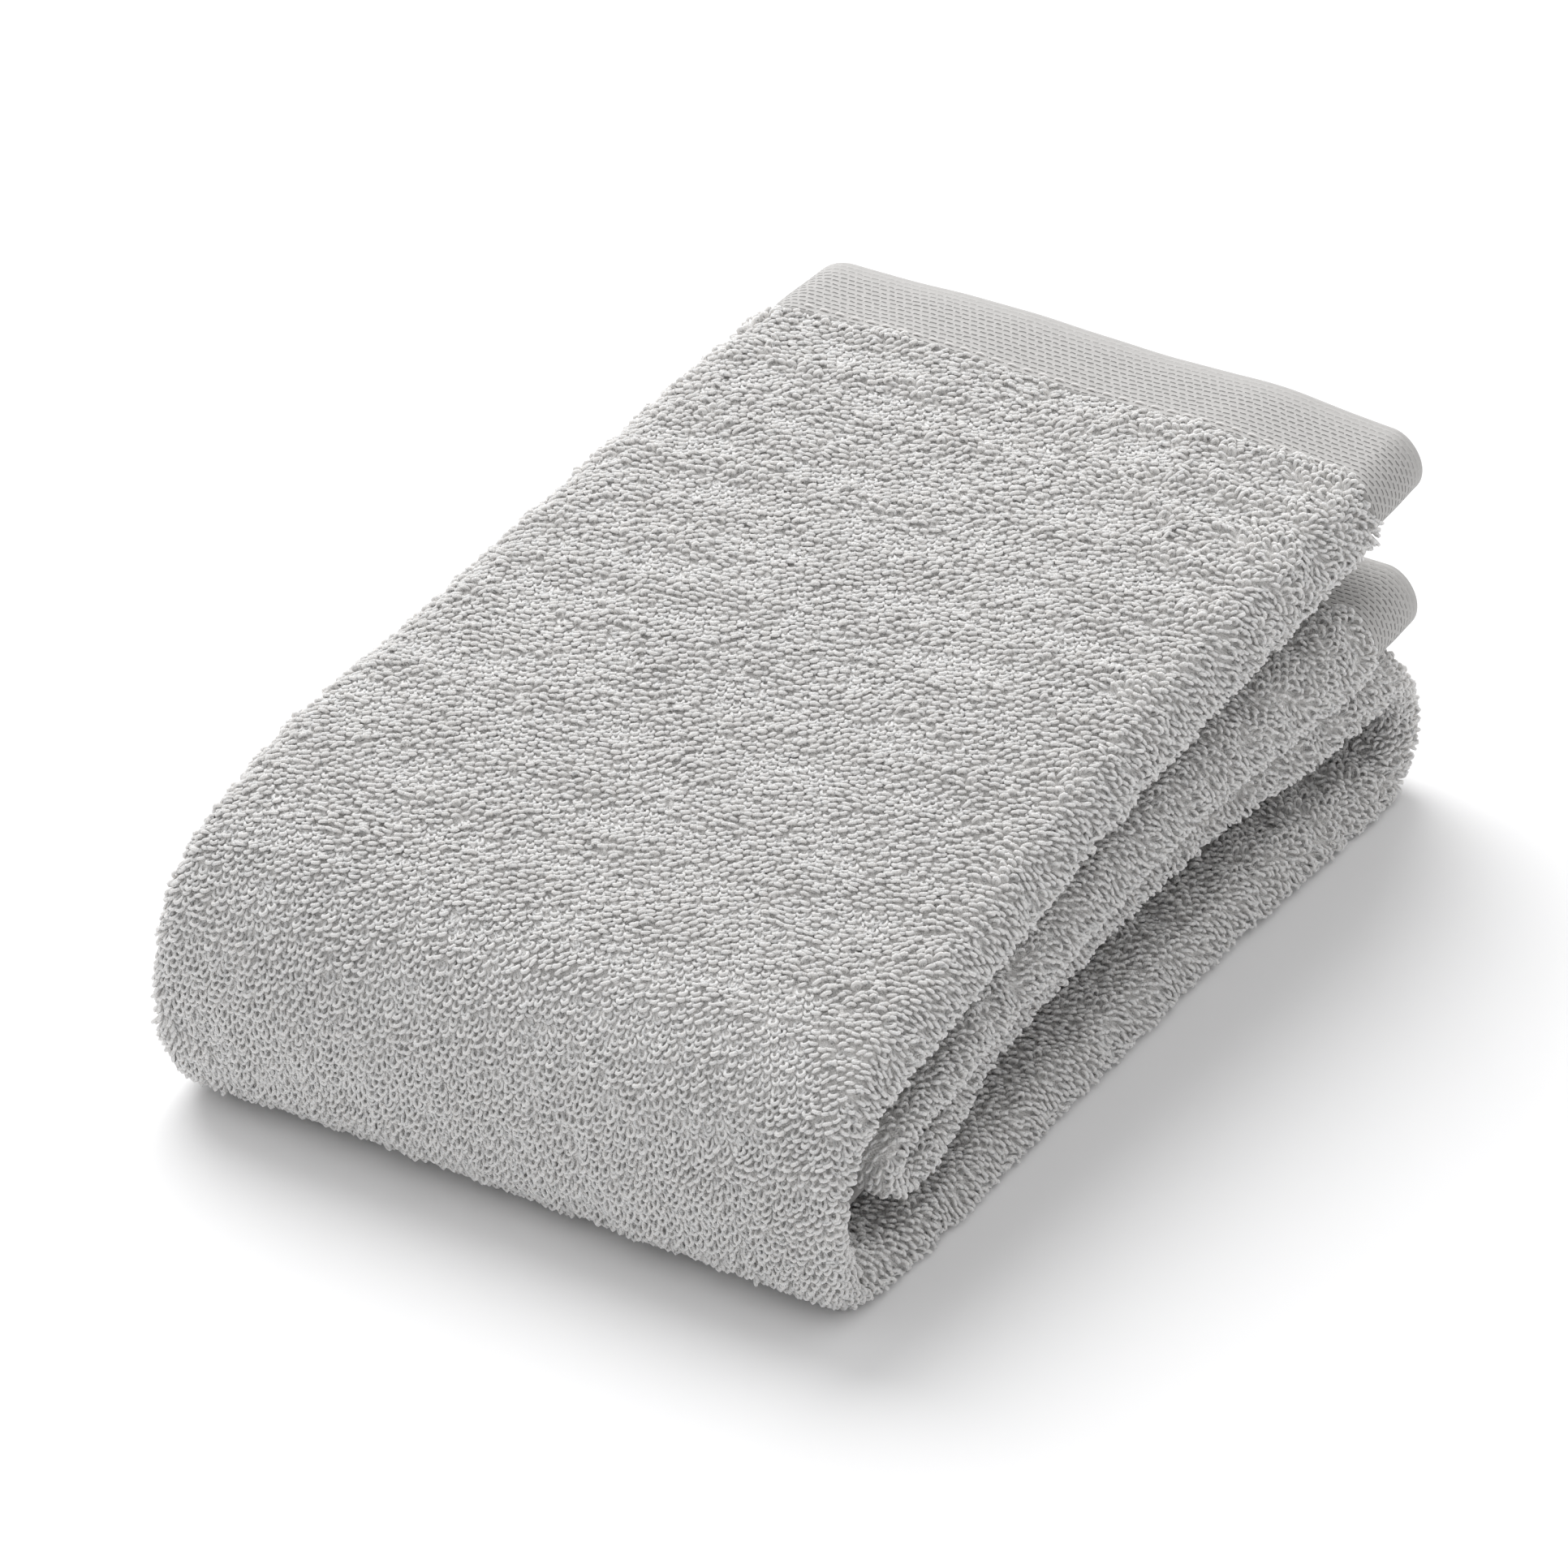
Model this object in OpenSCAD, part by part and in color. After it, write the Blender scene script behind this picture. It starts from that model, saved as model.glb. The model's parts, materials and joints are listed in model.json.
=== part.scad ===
// Folded terry towel with woven end hems.
//
// One cotton cloth is letter-folded along its length into a strip three plies thick. The strip is then
// folded in half, and in half again, into a stack of four leaves. The smooth middle third of the cloth is
// the face side of the strip, and the free edge of the last third lies on its flap side.
// Going along the strip: top leaf, front fold, bottom leaf, back fold, third leaf, inner fold, second leaf.
// The pile is pressed together at the front folds and lofts towards the hem ends, so the stack is a wedge.
// The towel opens by lifting the hem end of the top leaf and turning it over the front fold.
// Origin: middle of the footprint, on the surface the towel lies on. +Y points to the hem ends.

/* [Folded towel] */
// Width of the folded towel, across the strip
towel_w = 168; // [120:1:240]
// Length of the folded towel, from the front fold to the back fold
towel_l = 256; // [180:1:400]

/* [Cloth] */
// Thickness of one ply of pile cloth where it is pressed together at the front folds
ply_t = 4.3; // [3:0.1:6]
// Growth of the bottom and third leaves from the front fold to the back fold, in thickness
lower_loft = 3.9; // [0:0.1:8]
// Growth of the second and top leaves from the front fold to the hem ends, in thickness
upper_loft = 11.5; // [0:0.1:14]
// Space between the plies inside one leaf
ply_gap = 0.4; // [0.2:0.1:1]

/* [Hem band] */
// Thickness of one ply of the flat woven hem band
band_ply_t = 2.8; // [1.5:0.1:4]
// Length of the hem band along the strip
band_l = 23; // [12:1:40]
// Space between the plies inside the folded band
band_ply_gap = 5.8; // [1:0.1:6]

/* [Stack] */
// Space between the second and third leaves
leaf_gap = 0.4; // [0.3:0.1:2]
// Space between the nested front folds, so that the outer one can open
nest_gap = 1.3; // [1.2:0.1:3]
// How far the hem ends stop short of the back fold
hem_setback = 1.5; // [0:0.5:10]
// How far the free edge of the flap stops short of the strip's right side
flap_recess = 6; // [2:1:20]

/* [Side hem] */
// Width of the turned side hem at the free edge of the flap
side_hem_w = 8; // [5:0.5:15]
// Thickness of the side hem
side_hem_t = 2.6; // [2:0.1:3.5]

/* [Sewing] */
// Diameter of the sewing thread
thread_d = 0.6; // [0.4:0.1:1]
// Length of one stitch
stitch_l = 3; // [2:0.5:4]
// Distance from one stitch to the next
stitch_pitch = 4; // [3.5:0.5:6]
// Distance of the end hem's stitches from the edge of the pile
stitch_inset = 1.2; // [0.8:0.1:3]

/* [Front fold] */
// Clearance between neighbouring parts of the front fold, and between the fold and its leaves
segment_gap = 0.3; // [0.2:0.1:0.5]

/* [Hidden] */
inner_fold_bore = 0.2;
hinge_angle = 45;
leaf_t = 3 * ply_t + 2 * ply_gap;
back_leaf_t = leaf_t + lower_loft;
back_ply_t = ply_t + lower_loft / 3;

// Heights of the undersides of the leaves at the front folds
front_z_third = leaf_t + nest_gap;
front_z_second = front_z_third + leaf_t + leaf_gap;
front_z_top = front_z_second + leaf_t + nest_gap;
front_h = front_z_top + leaf_t;

// Heights of the undersides of the leaves at the back fold or at the hem ends
back_z_third = back_leaf_t + nest_gap;
back_z_second = back_z_third + back_leaf_t + leaf_gap;

// The nested front folds share one axis; the back fold joins the bottom and third leaves
front_z = front_h / 2;
outer_r = front_h / 2;
outer_bore = outer_r - leaf_t;
front_y = -towel_l / 2 + outer_r;
back_z = (back_z_third + back_leaf_t) / 2;
back_r = back_z;
back_bore = back_r - back_leaf_t;
back_y = towel_l / 2 - back_r;
hem_y = towel_l / 2 - hem_setback;
pile_end_y = hem_y - band_l;

// Thickness of the second and top leaves where the hem band starts, and of the folded band
pile_end_t = leaf_t + upper_loft * (pile_end_y - front_y) / (hem_y - front_y);
band_t = 3 * band_ply_t + 2 * band_ply_gap;
band_lift = (pile_end_t - band_t) / 2;

pile_colour = [0.80, 0.79, 0.78];
band_colour = [0.86, 0.85, 0.84];
hem_colour = [0.83, 0.82, 0.81];
thread_colour = [0.90, 0.89, 0.88];

$fn = 96;

// Ring sector that turns a ply back on itself; side is 1 on the right and -1 on the left
module ply_turn(outer, t, side) {
    intersection() {
        difference() {
            circle(r = outer);
            circle(r = outer - t);
        }
        translate([side > 0 ? 0 : -2 * outer, -2 * outer])
            square([2 * outer, 4 * outer]);
    }
}

// Straight ply from x0 to x1 with its underside at z0
module ply(x0, x1, z0, t) {
    translate([x0, z0])
        square([x1 - x0, t]);
}

// Cross-section of the letter-folded strip: face side up, flap side down, plies of thickness t with a
// gap between them. The flap stops at flap_end, where the side hem takes over.
module strip_section(t, gap, flap_end) {
    total = 3 * t + 2 * gap;
    right_r = (2 * t + gap) / 2;
    left_r = total / 2;
    right_x = towel_w / 2 - right_r;
    left_x = -towel_w / 2 + left_r;
    ply(left_x, right_x, total - t, t);
    translate([right_x, total - right_r])
        ply_turn(right_r, t, 1);
    ply(left_x, right_x, t + gap, t);
    translate([left_x, left_r])
        ply_turn(left_r, t, -1);
    ply(left_x, flap_end, 0, t);
}

flap_edge_x = towel_w / 2 - flap_recess;
pile_flap_x = flap_edge_x - side_hem_w;

module pile_section(t) {
    strip_section(t, ply_gap, pile_flap_x);
}

module band_section() {
    strip_section(band_ply_t, band_ply_gap, flap_edge_x);
}

// Side hem at the free edge of the flap, in the middle of the flap's thickness t
module side_hem_section(t) {
    translate([pile_flap_x, (t - side_hem_t) / 2])
        square([side_hem_w - side_hem_t / 2, side_hem_t]);
    translate([flap_edge_x - side_hem_t / 2, t / 2])
        circle(d = side_hem_t);
}

// Turns a section of thickness t over, so that its flap side is up
module flipped(t) {
    translate([0, t])
        mirror([0, 1])
            children();
}

// Angle at which a leaf rises from height z0 at the front fold to z1 at y
function rise(z0, z1, y) = atan((z1 - z0) / (y - front_y));

third_rise = rise(front_z_third, back_z_third, back_y);
second_rise = rise(front_z_second, back_z_second, back_y);

// The top leaf follows the upper face of the second leaf, which is thickest at the hem ends
hem_z_second = front_z_second + (hem_y - front_y) * tan(second_rise);
hem_z_top = hem_z_second + leaf_t + upper_loft + nest_gap;
top_rise = rise(front_z_top, hem_z_top, hem_y);

// A rising leaf leans back over its front fold, so it starts where its upper edge is clear of the fold
function lean(a) = leaf_t * tan(a) + segment_gap;

// Straight run of a section along a leaf that starts at height z0 and rises at angle a. It covers the
// stretch from start to end, and the section grows in thickness by the factor growth.
module run(z0, a, start, end, growth = 1) {
    translate([0, front_y, z0])
        rotate([a, 0, 0])
            translate([0, start, 0])
                rotate([-90, 0, 0])
                    linear_extrude(height = end - start, scale = [1, growth], slices = 1)
                        mirror([0, 1])
                            children();
}

lower_run = back_y - front_y;
upper_run = pile_end_y - front_y;
lower_growth = back_leaf_t / leaf_t;
upper_growth = pile_end_t / leaf_t;

// Section bent round an axis along X; radii grow in the section's own up direction, from bore
module bend(y, z, bore, start, angle) {
    translate([0, y, z])
        rotate([90, 0, 90])
            rotate_extrude(angle = angle, start = start)
                translate([bore, 0])
                    mirror([1, -1])
                        children();
}

// Row of separate stitches along Y, on a line from height z0 to z1 over the length
module stitches_along_y(x, length, z0, z1) {
    count = floor(length / stitch_pitch);
    slope = (z1 - z0) / length;
    for (i = [0 : count - 1]) {
        y = (i + 0.5) * stitch_pitch - stitch_l / 2;
        translate([x, y, z0 + slope * y])
            rotate([-90 + atan(slope), 0, 0])
                cylinder(d = thread_d, h = stitch_l, $fn = 24);
    }
}

// Row of separate stitches along X
module stitches_along_x(x0, x1, y, z) {
    count = floor((x1 - x0) / stitch_pitch);
    for (i = [0 : count - 1])
        translate([x0 + (i + 0.5) * stitch_pitch - stitch_l / 2, y, z])
            rotate([0, 90, 0])
                cylinder(d = thread_d, h = stitch_l, $fn = 24);
}

// The side hem's stitches lie on its outer face, on the flap side of the leaf
side_stitch_x = pile_flap_x + side_hem_w * 0.3;
stitch_depth = (ply_t - side_hem_t) / 2 - thread_d / 2;

// Stitches of a leaf with its flap side down
module side_stitches_under(z0, a, length, growth) {
    translate([0, front_y, z0])
        rotate([a, 0, 0])
            stitches_along_y(side_stitch_x, length, stitch_depth, side_hem_under(growth) - thread_d / 2);
}

// Stitches of a leaf with its flap side up
module side_stitches_over(z0, a, length, growth) {
    translate([0, front_y, z0])
        rotate([a, 0, 0])
            stitches_along_y(
                side_stitch_x, length,
                leaf_t - stitch_depth, leaf_t * growth - side_hem_under(growth) + thread_d / 2
            );
}

// Depth of the side hem's outer face below the flap's face, where the leaf has grown by a factor
function side_hem_under(growth) = growth * (ply_t - side_hem_t) / 2;

module bottom_leaf() {
    color(pile_colour)
        run(0, 0, 0, lower_run, lower_growth)
            flipped(leaf_t)
                pile_section(ply_t);
}

module bottom_side_hem() {
    color(hem_colour)
        run(0, 0, 0, lower_run, lower_growth)
            flipped(leaf_t)
                side_hem_section(ply_t);
}

module bottom_side_stitching() {
    color(thread_colour)
        side_stitches_over(0, 0, lower_run, lower_growth);
}

module third_leaf() {
    color(pile_colour)
        run(front_z_third, third_rise, lean(third_rise), lower_run, lower_growth)
            pile_section(ply_t);
}

module third_side_hem() {
    color(hem_colour)
        run(front_z_third, third_rise, lean(third_rise), lower_run, lower_growth)
            side_hem_section(ply_t);
}

module third_side_stitching() {
    color(thread_colour)
        side_stitches_under(front_z_third, third_rise, lower_run, lower_growth);
}

// Face side outwards, from the bottom leaf round to the third leaf
module back_fold() {
    color(pile_colour)
        bend(back_y, back_z, back_bore, -90, 180) {
            pile_section(back_ply_t);
            side_hem_section(back_ply_t);
        }
}

// Flap side outwards, from the third leaf round to the second leaf
module inner_fold() {
    color(pile_colour)
        bend(front_y, front_z, inner_fold_bore, 90, 180)
            flipped(leaf_t) {
                pile_section(ply_t);
                side_hem_section(ply_t);
            }
}

module second_leaf() {
    color(pile_colour)
        run(front_z_second, second_rise, lean(second_rise), upper_run, upper_growth)
            flipped(leaf_t)
                pile_section(ply_t);
}

module second_side_hem() {
    color(hem_colour)
        run(front_z_second, second_rise, lean(second_rise), upper_run, upper_growth)
            flipped(leaf_t)
                side_hem_section(ply_t);
}

module second_side_stitching() {
    color(thread_colour)
        side_stitches_over(front_z_second, second_rise, upper_run, upper_growth);
}

// The folded band is thinner than the pile and lies in the middle of the leaf's thickness
module second_hem_band() {
    color(band_colour)
        run(front_z_second, second_rise, upper_run, upper_run + band_l)
            translate([0, band_lift])
                flipped(band_t)
                    band_section();
}

// Stitches on the upper side of a band, on a leaf that starts at height z0 and rises at angle a
module hem_stitches(z0, a, x0, x1) {
    translate([0, front_y, z0])
        rotate([a, 0, 0])
            stitches_along_x(
                x0, x1, upper_run + stitch_inset, band_lift + band_t + thread_d / 2
            );
}

module second_hem_stitching() {
    color(thread_colour)
        hem_stitches(front_z_second, second_rise, -towel_w / 2 + band_t / 2, flap_edge_x);
}

module top_leaf() {
    color(pile_colour)
        run(front_z_top, top_rise, lean(top_rise), upper_run, upper_growth)
            pile_section(ply_t);
}

module top_side_hem() {
    color(hem_colour)
        run(front_z_top, top_rise, lean(top_rise), upper_run, upper_growth)
            side_hem_section(ply_t);
}

module top_side_stitching() {
    color(thread_colour)
        side_stitches_under(front_z_top, top_rise, upper_run, upper_growth);
}

module top_hem_band() {
    color(band_colour)
        run(front_z_top, top_rise, upper_run, upper_run + band_l)
            translate([0, band_lift])
                band_section();
}

module top_hem_stitching() {
    color(thread_colour)
        hem_stitches(front_z_top, top_rise, -towel_w / 2 + band_t / 2, towel_w / 2 - band_t / 2);
}

// Part of the front fold between two angles, which are counted from the bottom leaf up to the top leaf.
// The middle part hinges on the other two along lines in the fold's outer face.
module front_fold(from, to) {
    half_gap_angle = asin(segment_gap / 2 / outer_r);
    color(pile_colour)
        bend(front_y, front_z, outer_bore, 270 - to + half_gap_angle, to - from - 2 * half_gap_angle) {
            pile_section(ply_t);
            side_hem_section(ply_t);
        }
}

module front_fold_lower() { front_fold(0, hinge_angle); }
module front_fold_middle() { front_fold(hinge_angle, 180 - hinge_angle); }
module front_fold_upper() { front_fold(180 - hinge_angle, 180); }

bottom_leaf();
bottom_side_hem();
bottom_side_stitching();
back_fold();
third_leaf();
third_side_hem();
third_side_stitching();
inner_fold();
second_leaf();
second_side_hem();
second_side_stitching();
second_hem_band();
second_hem_stitching();
top_leaf();
top_side_hem();
top_side_stitching();
top_hem_band();
top_hem_stitching();
front_fold_lower();
front_fold_middle();
front_fold_upper();
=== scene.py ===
"""Looks of the folded terry towel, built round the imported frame.

One cloth is folded in three across its width, which makes a strip of three plies: the flap, an inner ply
and the face. The strip is folded in half twice along its length, which makes four leaves. Every leaf and
fold is a ruled strip between a flap line and a face line in the YZ plane, and the cloth runs round its
cross-section as a spiral: flap, left turn, face, right turn, inner ply. The pile is real yarn: each loop is
a small bent tube. Lengths are in millimetres until a mesh is made.
"""
import json
import math

import bpy
import numpy as np
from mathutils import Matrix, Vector


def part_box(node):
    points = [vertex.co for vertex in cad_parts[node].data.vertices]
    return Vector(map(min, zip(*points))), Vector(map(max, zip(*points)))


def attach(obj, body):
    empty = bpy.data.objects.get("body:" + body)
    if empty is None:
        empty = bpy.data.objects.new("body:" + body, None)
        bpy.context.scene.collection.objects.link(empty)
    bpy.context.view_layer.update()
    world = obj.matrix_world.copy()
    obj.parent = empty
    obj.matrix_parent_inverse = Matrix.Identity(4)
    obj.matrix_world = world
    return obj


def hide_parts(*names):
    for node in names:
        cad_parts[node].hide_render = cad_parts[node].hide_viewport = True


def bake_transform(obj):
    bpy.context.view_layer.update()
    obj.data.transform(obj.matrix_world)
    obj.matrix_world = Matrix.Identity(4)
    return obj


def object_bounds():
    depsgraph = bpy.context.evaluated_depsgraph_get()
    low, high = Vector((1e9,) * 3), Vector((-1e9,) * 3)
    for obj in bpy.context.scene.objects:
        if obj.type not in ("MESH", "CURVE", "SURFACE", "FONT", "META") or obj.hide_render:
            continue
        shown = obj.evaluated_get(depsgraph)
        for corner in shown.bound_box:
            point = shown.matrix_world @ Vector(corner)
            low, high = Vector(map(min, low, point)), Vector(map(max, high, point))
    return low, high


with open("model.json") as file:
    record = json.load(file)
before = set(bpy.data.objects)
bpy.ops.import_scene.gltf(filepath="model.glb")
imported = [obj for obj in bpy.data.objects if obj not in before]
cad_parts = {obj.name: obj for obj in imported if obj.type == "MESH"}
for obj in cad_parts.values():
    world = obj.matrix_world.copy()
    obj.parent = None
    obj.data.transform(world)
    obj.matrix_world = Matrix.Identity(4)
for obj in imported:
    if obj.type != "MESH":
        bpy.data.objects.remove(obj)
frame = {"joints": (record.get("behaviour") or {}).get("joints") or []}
cad_bounds = [list(corner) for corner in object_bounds()]

MM = 0.001
rng = np.random.default_rng(20)


def node_box(node):
    """Lowest and highest corner of a CAD node in millimetres."""
    low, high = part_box(node)
    return np.array(low) / MM, np.array(high) / MM


def joint_place(name):
    """(y, z) of a hinge in millimetres."""
    joint = next(j for j in frame["joints"] if j["name"] == name)
    return np.array(joint["pos_m"][1:]) / MM


# ---------------------------------------------------------------- sizes from the frame

LOWER_HINGE = joint_place("fold_opening")
UPPER_HINGE = joint_place("top_leaf_turning")
AXIS_Z = (LOWER_HINGE[1] + UPPER_HINGE[1]) / 2
FOLD_R = (UPPER_HINGE[1] - LOWER_HINGE[1]) / math.sqrt(2)
AXIS_Y = LOWER_HINGE[0] + FOLD_R / math.sqrt(2)
FOLD_BORE = (AXIS_Z - node_box("front_fold_lower")[1][2]) * math.sqrt(2)
LEAF_T = FOLD_R - FOLD_BORE
HALF_W = node_box("top_leaf")[1][0]
THIRD_Z = node_box("third_leaf")[0][2]
SECOND_Z = node_box("second_leaf")[0][2]
TOP_Z = 2 * AXIS_Z - LEAF_T
BACK_HIGH = node_box("back_fold")[1]
BACK_R = BACK_HIGH[2] / 2
BACK_Y = BACK_HIGH[1] - BACK_R
HEM_Y = node_box("second_hem_band")[1][1]
PILE_END_Y = node_box("second_leaf")[1][1]
STACK_H = cad_bounds[1][2] / MM

# ---------------------------------------------------------------- shape of the cloth

LOOP_DEPTH = 1.4        # from the pile's surface down to the ground cloth
GROUND_T = 1.1          # thickness of the ground cloth
BAND_T = 2.4            # thickness of the flat woven hem band
INNER_PLY_H = 5.0       # height of the inner ply above the flap at the right turn, at the front fold
INNER_PLY_RISE = 3.2    # how much higher it is at the hem ends of the top and second leaves
FLAP_RECESS = 15.0      # how far the flap's edge stops short of the right side at the front fold
HEM_RECESS = 3.0        # how much further it stops short at the hem ends
SECOND_RECESS = 3.5     # how far the second leaf's right side stands back
THIRD_RECESS = 8.0      # how far the third leaf's right side stands back
RIGHT_FORWARD = 5.0     # how much further forward the right end of the front fold is
SIDE_HEM_W = 8.0        # width of the turned side hem
SIDE_HEM_T = 2.6        # thickness of the turned side hem
ROUNDING = 1.3          # how quickly the leaves rise behind the front fold: 1 is a straight wedge
FRONT_LOFT = 4.6        # extra thickness of the top leaf where it leaves the front fold
RISE_H = STACK_H + 2.0  # height of the pile's surface at the hem ends
LEFT_TAPER = 12.5       # how much the left side comes in at the hem ends
RIGHT_TAPER = 0.5       # how much the right side comes in at the hem ends
FOLD_SAG = 3.0          # how far the front fold sags under its own weight: 2 is round, more is squarer
BACK_GAP = 6.0          # opening between the bottom and third leaves at the back fold
BACK_GAP_REACH = 55.0   # how far it reaches between them
ROLL_SAG = 0.42         # how far the roll at the right side sags, as an angle
CORNER_RISE = 0.035     # how much higher the left back corner stands, as a share of its height
SHOULDER_RISE = 0.035   # the same for the left shoulder, just behind the front fold
SHOULDER_ASIDE = 2.2    # how far the left shoulder stands out
MIDDLE_RISE = 0.048     # how much higher the whole stack stands behind the front fold, as a share
MIDDLE_WAVE = 0.012     # how much that changes across the strip
SIDE_FALL = 0.055       # how much lower the right side lies, as a share
BACK_ASIDE = 2.5        # how far the right side of the back fold stands out, at the table
INNER_BORE = 3.4        # radius of the hollow in the inner fold
BORE_REACH = 75.0       # how far the hollow reaches between the second and third leaves

# Parts of the cross-section in the order that the cloth runs, and the columns of points in each.
FLAP, LEFT, FACE, RIGHT, INNER = range(5)
COLUMNS = (70, 22, 76, 22, 34)


def smooth(t):
    """0 up to t = 0, 1 from t = 1, and smooth between."""
    t = np.clip(t, 0, 1)
    return t * t * (3 - 2 * t)


def rise(y):
    """Share of the stack's rise reached at y: 0 at the front fold, 1 at the hem ends."""
    u = np.clip((y - AXIS_Y) / (HEM_Y - AXIS_Y), 0, 1)
    return 1 - (1 - u) ** ROUNDING


SECOND_RISE = BACK_HIGH[2] + (SECOND_Z - THIRD_Z - LEAF_T) - SECOND_Z
TOP_RISE = RISE_H - (TOP_Z + LEAF_T + FRONT_LOFT)
UPPER_LOFT = (TOP_RISE + FRONT_LOFT - SECOND_RISE) / 2


def back_opening(y):
    """Height of the opening between the bottom and third leaves at y."""
    return BACK_GAP * smooth((y - BACK_Y + BACK_GAP_REACH) / 60)


def bottom_line(y):
    """Heights of the flap side and the face side of the bottom leaf at y."""
    return BACK_R - (BACK_R - LEAF_T) * (1 - rise(y)) - back_opening(y) / 2, np.zeros_like(y)


def hollow(y):
    """Half height of the hollow that the inner fold leaves between the second and third leaves."""
    return INNER_BORE * (1 - smooth((y - AXIS_Y) / BORE_REACH))


def third_line(y):
    """The same two heights of the third leaf."""
    face = THIRD_Z + LEAF_T + (BACK_HIGH[2] - THIRD_Z - LEAF_T) * rise(y) / rise(BACK_Y) - hollow(y)
    return BACK_R + (THIRD_Z - BACK_R) * (1 - rise(y)) + back_opening(y) / 2, face


def second_line(y):
    """The same two heights of the second leaf."""
    face = SECOND_Z + SECOND_RISE * rise(y)
    return face + LEAF_T + UPPER_LOFT * rise(y), face + hollow(y)


def top_line(y):
    """The same two heights of the top leaf."""
    flap = TOP_Z + (SECOND_RISE + UPPER_LOFT) * rise(y)
    return flap, TOP_Z + LEAF_T + FRONT_LOFT + TOP_RISE * rise(y)


def leaf_stations(line, y):
    """Flap points and face points (y, z) of a leaf at the given places."""
    flap, face = line(y)
    return np.stack([y, flap], 1), np.stack([y, face], 1)


def front_fold_stations(angle):
    """Angles run from 0 at the bottom leaf to pi at the top leaf."""
    growth = FRONT_LOFT * (np.clip(angle - math.pi / 2, 0, None) / (math.pi / 2)) ** 2
    out = np.stack([-np.sin(angle), -np.cos(angle)], 1)
    lower = np.minimum(angle, math.pi / 2)
    sag = (np.sin(lower) ** FOLD_SAG + np.cos(lower) ** FOLD_SAG) ** (-1 / FOLD_SAG)
    centre = np.array([AXIS_Y, AXIS_Z])
    return centre + FOLD_BORE * out, centre + (FOLD_R * sag + growth)[:, None] * out


def inner_fold_stations(angle):
    """The inner fold turns inside the front fold, with the flap outside."""
    out = np.stack([-np.sin(angle), -np.cos(angle)], 1)
    centre = np.array([AXIS_Y, AXIS_Z])
    flap_r = AXIS_Z - THIRD_Z
    return centre + flap_r * out, centre + INNER_BORE * out


def back_fold_stations(angle):
    """The back fold turns between the bottom and third leaves, with the face outside."""
    out = np.stack([np.sin(angle), -np.cos(angle)], 1)
    centre = np.array([BACK_Y, BACK_R])
    return centre + BACK_GAP / 2 * out, centre + BACK_R * out


def taper(y):
    """Share of the side taper reached at y."""
    return np.clip((y - AXIS_Y) / (HEM_Y - AXIS_Y), 0, 1) ** 1.4


def section_rows(thick, inner, left, right, flap_end, droop):
    """Cross-sections of the strip, one row for each station: x, and height over the flap side, of its outer
    surface, from the flap's free edge round to the hidden edge of the inner ply. The roll at the right sags,
    away from the face where droop is positive and towards it where droop is negative."""
    rows_x, rows_h = [], []
    for t, low, x0, x1, x_flap, sag in zip(thick, inner, left, right, flap_end, droop):
        left_r = t / 2
        right_r = (t - low) / 2
        turn = np.linspace(0, math.pi, COLUMNS[LEFT] + 1)[:-1]
        roll = np.linspace(0, math.pi, COLUMNS[RIGHT] + 1)[:-1]
        flap_x = np.linspace(x_flap, x0 + left_r, COLUMNS[FLAP] + 1)[:-1]
        face_x = np.linspace(x0 + left_r, x1 - right_r, COLUMNS[FACE] + 1)[:-1]
        inner_x = np.linspace(x1 - right_r, x0 + t, COLUMNS[INNER])
        middle = max(t / 2 - low - BAND_T, 0)
        inner_h = low + middle * smooth((x1 - right_r - inner_x) / 60)
        rows_x.append(np.concatenate([
            flap_x, x0 + left_r - left_r * np.sin(turn), face_x,
            x1 - right_r + right_r * np.sin(roll), inner_x]))
        rows_h.append(np.concatenate([
            np.zeros_like(flap_x), left_r - left_r * np.cos(turn), np.full_like(face_x, t),
            t - right_r + right_r * np.cos(roll + sag * np.sin(roll)), inner_h]))
    return np.array(rows_x), np.array(rows_h)


def column_of(part):
    """Columns of one part of the cross-section, as a slice."""
    start = sum(COLUMNS[:part])
    return slice(start, start + COLUMNS[part])


def settle(points):
    """The whole stack isn't quite square. Behind the front fold it stands higher, most of all at the left
    back corner and at the left shoulder, and its right side sinks. The shoulder, the right end of the front
    fold and the right side of the back fold stand out. Heights change in proportion, so that the leaves
    stay nested."""
    x, y, z = (points[..., i] for i in range(3))
    length = np.clip((y - AXIS_Y) / (HEM_Y - AXIS_Y), 0, 1)
    corner = CORNER_RISE * np.exp(-((x + HALF_W) / 22) ** 2) * smooth(2 * length - 1)
    middle = (MIDDLE_RISE - MIDDLE_WAVE * np.cos((x - 30) / 21)) * smooth(length * 2.2)
    fall = SIDE_FALL * smooth((x - 40) / 42)
    forward = RIGHT_FORWARD * smooth((AXIS_Y - y) / 20) * smooth((x + HALF_W) / (2 * HALF_W))
    aside = smooth(x / 60) * smooth((y - 10) / 100) * (BACK_ASIDE - smooth(z / 50))
    shoulder = np.exp(-((length - 0.13) / 0.15) ** 2) * smooth((20 - x) / 90)
    wide = aside - SHOULDER_ASIDE * shoulder
    taller = 1 + corner + middle - fall + SHOULDER_RISE * shoulder
    return np.stack([x + wide, y - forward, z * taller], -1)


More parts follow.
